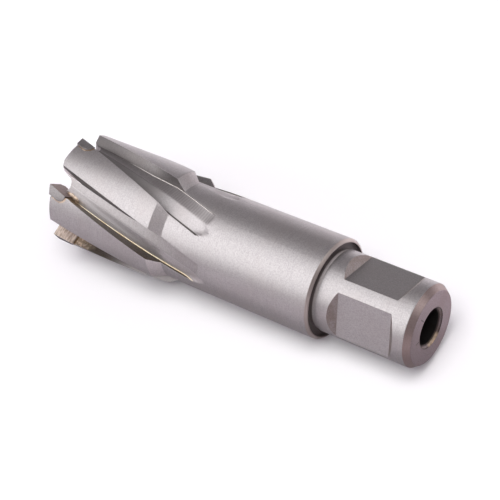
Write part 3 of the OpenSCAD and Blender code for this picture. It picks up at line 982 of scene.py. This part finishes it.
def addPool(piece):  # braze that ran out of a pocket, a flat lump on the flute's floor by the corner
    rings, count = pool["rings"], pool["points"]
    spots = [(-pool["long"], 0.0, 0.0)]
    for i in range(1, rings):
        swell = math.sin(math.pi * i / rings)
        along = -pool["long"] * math.cos(math.pi * i / rings)
        for j in range(count):
            turn = 2 * math.pi * j / count
            waves = math.sin(pool["waves"][0] * along + 2 * turn) + math.sin(pool["waves"][1] * along - turn)
            size = swell * (1 + pool["lump"] * waves)
            spots.append((along, pool["wide"] * size * math.cos(turn), pool["high"] * size * math.sin(turn)))
    spots.append((pool["long"], 0.0, 0.0))
    points = []
    for along, across, high in spots:
        a = pool["middle"] + along
        corner = leadPoint(a, fluteDepth + flute["cornerSink"])
        points.append((*(corner + turned(leadTurn(a), high, pool["aside"] + across)), a))
    last = len(points) - 1
    faces = [(0, 1 + (j + 1) % count, 1 + j) for j in range(count)]
    for i in range(rings - 2):
        faces += band(1 + i * count, count)
    faces += [(last, last - count + j, last - count + (j + 1) % count) for j in range(count)]

    def add(work):
        verts = [work.verts.new(p) for p in toFrame(points)]
        made = [work.faces.new([verts[k] for k in face]) for face in faces]
        bmesh.ops.recalc_face_normals(work, faces=made)

    return reworked(piece, add)


def numbered(stem):
    return [f"{stem}_{i + 1}" for i in range(teeth["count"])]


tips = softEdges(copyOfNode("carbide_tip_1", "carbideTips"))
shadeSoft(repeatRound(tips, carbideLook()), carbide["sharp"])
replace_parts(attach(tips, "root"), *numbered("carbide_tip"))
seams = addPool(copyOfNode("braze_seam_1", "brazeSeams"))
shadeSoft(repeatRound(seams, brazeLook()), braze["sharp"])
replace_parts(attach(seams, "root"), *numbered("braze_seam"))
print("tips and seams:", len(tips.data.polygons), len(seams.data.polygons), "faces")

# floor: it touches the neck's rear corner and the lands at their steps
stageSet = {"slope": 0.0366, "size": 6.0, "tone": 0.88, "tint": (1.0, 0.95, 0.975), "darkAt": -14,
            "darkSpan": (2, 30), "mirrored": (0.38, 0.8), "glow": 0.68, "glowSpan": (15, 60),
            "fill": (0.06, 0.2), "fillSpan": (32, 60), "squash": 0.6}


def inMetres(span):
    return [size * mm for size in span]


def buildFloor():
    half = stageSet["size"] / 2
    touchX, touchZ = endX - neck["start"] * mm, axisZ - neck["radius"] * mm
    corners = [(x, y, touchZ + (x - touchX) * stageSet["slope"])
               for x, y in ((-half, -half), (half, -half), (half, half), (-half, half))]
    piece = bpy.data.objects.new("floor", bpy.data.meshes.new("floor"))
    piece.data.from_pydata(corners, [], [(0, 1, 2, 3)])
    scene.collection.objects.link(piece)
    material, tree, shader = newMaterial("paleFloor")
    shader.inputs["Roughness"].default_value = 1.0
    shader.inputs["Specular IOR Level"].default_value = 0.0
    rays = tree.nodes.new("ShaderNodeLightPath").outputs
    where = parted(tree, tree.nodes.new("ShaderNodeTexCoord").outputs["Object"])
    # painted reflection: to the metal the floor shows darker in front of the tool and glows behind it; to the
    # camera it glows white, less near the tool
    aside = maths(tree, "ABSOLUTE", minus(tree, where["Y"], stageSet["darkAt"] * mm))
    mirrored = ranged(tree, aside, inMetres(stageSet["darkSpan"]), *stageSet["mirrored"])
    inMetal = mixed(tree, mirrored, (0, 0, 0), stageSet["tint"])
    tone = mixed(tree, rays["Is Glossy Ray"], (stageSet["tone"],) * 3, inMetal)
    feed(tree, shader.inputs["Base Color"], tone)
    behind = rising(tree, where["Y"], inMetres(stageSet["glowSpan"]), stageSet["glow"])
    away = distance(tree, times(tree, where["X"], stageSet["squash"]), where["Y"])
    fill = ranged(tree, away, inMetres(stageSet["fillSpan"]), *stageSet["fill"])
    glow = tree.nodes.new("ShaderNodeEmission")
    feed(tree, glow.inputs["Strength"], plus(tree, times(tree, rays["Is Camera Ray"], fill),
                                             times(tree, rays["Is Glossy Ray"], behind)))
    both = tree.nodes.new("ShaderNodeAddShader")
    tree.links.new(shader.outputs[0], both.inputs[0])
    tree.links.new(glow.outputs[0], both.inputs[1])
    tree.links.new(both.outputs[0], tree.nodes["Material Output"].inputs["Surface"])
    piece.data.materials.append(material)


buildFloor()

# light
sky = {"tint": (1.0, 0.94, 0.97), "onFloor": (1.025, 0.905, 1.045), "diffuse": 0.36, "upSpan": (-0.02, 0.2),
       "mirrored": (0.8, 0.36), "behind": 0.6, "behindUp": (0.0, 0.13), "behindFrom": (0.2, 0.7)}
lamps = {
    "keyBox": {"toward": (-0.49, -0.487, 0.723), "distance": 0.6, "size": 0.78, "power": 4.0,
               "onFloor": False},
    "fillBox": {"toward": (0.6, 0.27, 0.75), "distance": 0.8, "size": 0.45, "power": 1.0, "onFloor": False},
    "topBox": {"toward": (0.15, -0.26, 0.94), "distance": 0.7, "size": 0.48, "power": 4.7, "onFloor": True},
}
centre = Vector((0, 0, axisZ))


def buildSky():  # white to the camera, dimmer to the floor, and paler low down in what the metal mirrors
    world = bpy.data.worlds.new("paleRoom")
    scene.world = world
    world.use_nodes = True
    tree = world.node_tree
    shader = tree.nodes["Background"]
    rays = tree.nodes.new("ShaderNodeLightPath").outputs
    way = parted(tree, tree.nodes.new("ShaderNodeTexCoord").outputs["Generated"])
    lowBand = times(tree, falling(tree, way["Z"], sky["behindUp"], sky["behind"]),
                    rising(tree, way["Y"], sky["behindFrom"]))
    inMetal = plus(tree, ranged(tree, way["Z"], sky["upSpan"], *sky["mirrored"]), lowBand)
    mirrored = rays["Is Glossy Ray"]
    unseen = plus(tree, times(tree, minus(tree, 1.0, mirrored), sky["diffuse"]),
                  times(tree, mirrored, inMetal))
    unseenTint = mixed(tree, mirrored, sky["onFloor"], sky["tint"])
    feed(tree, shader.inputs["Color"], mixed(tree, rays["Is Camera Ray"], unseenTint, (1, 1, 1)))
    feed(tree, shader.inputs["Strength"], larger(tree, unseen, rays["Is Camera Ray"]))


def buildLamps():
    for name, lamp in lamps.items():
        light = bpy.data.lights.new(name, "AREA")
        light.shape = "SQUARE"
        light.size = lamp["size"]
        light.energy = lamp["power"]
        box = bpy.data.objects.new(name, light)
        toward = Vector(lamp["toward"]).normalized()
        box.location = centre + toward * lamp["distance"]
        box.rotation_euler = toward.to_track_quat("Z", "Y").to_euler()
        box.visible_diffuse = lamp["onFloor"]  # one lamp lights the floor, the others show in the metal
        box.visible_glossy = not lamp["onFloor"]
        scene.collection.objects.link(box)


buildSky()
buildLamps()

# camera: where the photograph was taken from, turned with the tool about its axis
lens = {"place": (163.7, -223.7, 184.85), "right": (0.8089, 0.588, 0.0), "down": (0.3252, -0.447, -0.833),
        "forward": (-0.4899, 0.674, -0.553), "focal": 106.0, "sensor": 36.0, "nearest": 10}


def buildCamera():
    c, s = math.cos(restTurn), math.sin(restTurn)
    roll = Matrix(((1, 0, 0), (0, c, s), (0, -s, c)))
    right, down, forward = (roll @ Vector(lens[k]) for k in ("right", "down", "forward"))
    data = bpy.data.cameras.new("camera")
    data.lens = lens["focal"]
    data.sensor_width = lens["sensor"]
    data.clip_start = lens["nearest"] * mm
    camera = bpy.data.objects.new("camera", data)
    turn = Matrix((right, -down, -forward)).transposed().to_4x4()
    camera.matrix_world = Matrix.Translation(centre + roll @ (Vector(lens["place"]) * mm)) @ turn
    scene.collection.objects.link(camera)
    scene.camera = camera


buildCamera()
scene.view_settings.view_transform = "Standard"
print("stage, light and camera are set")
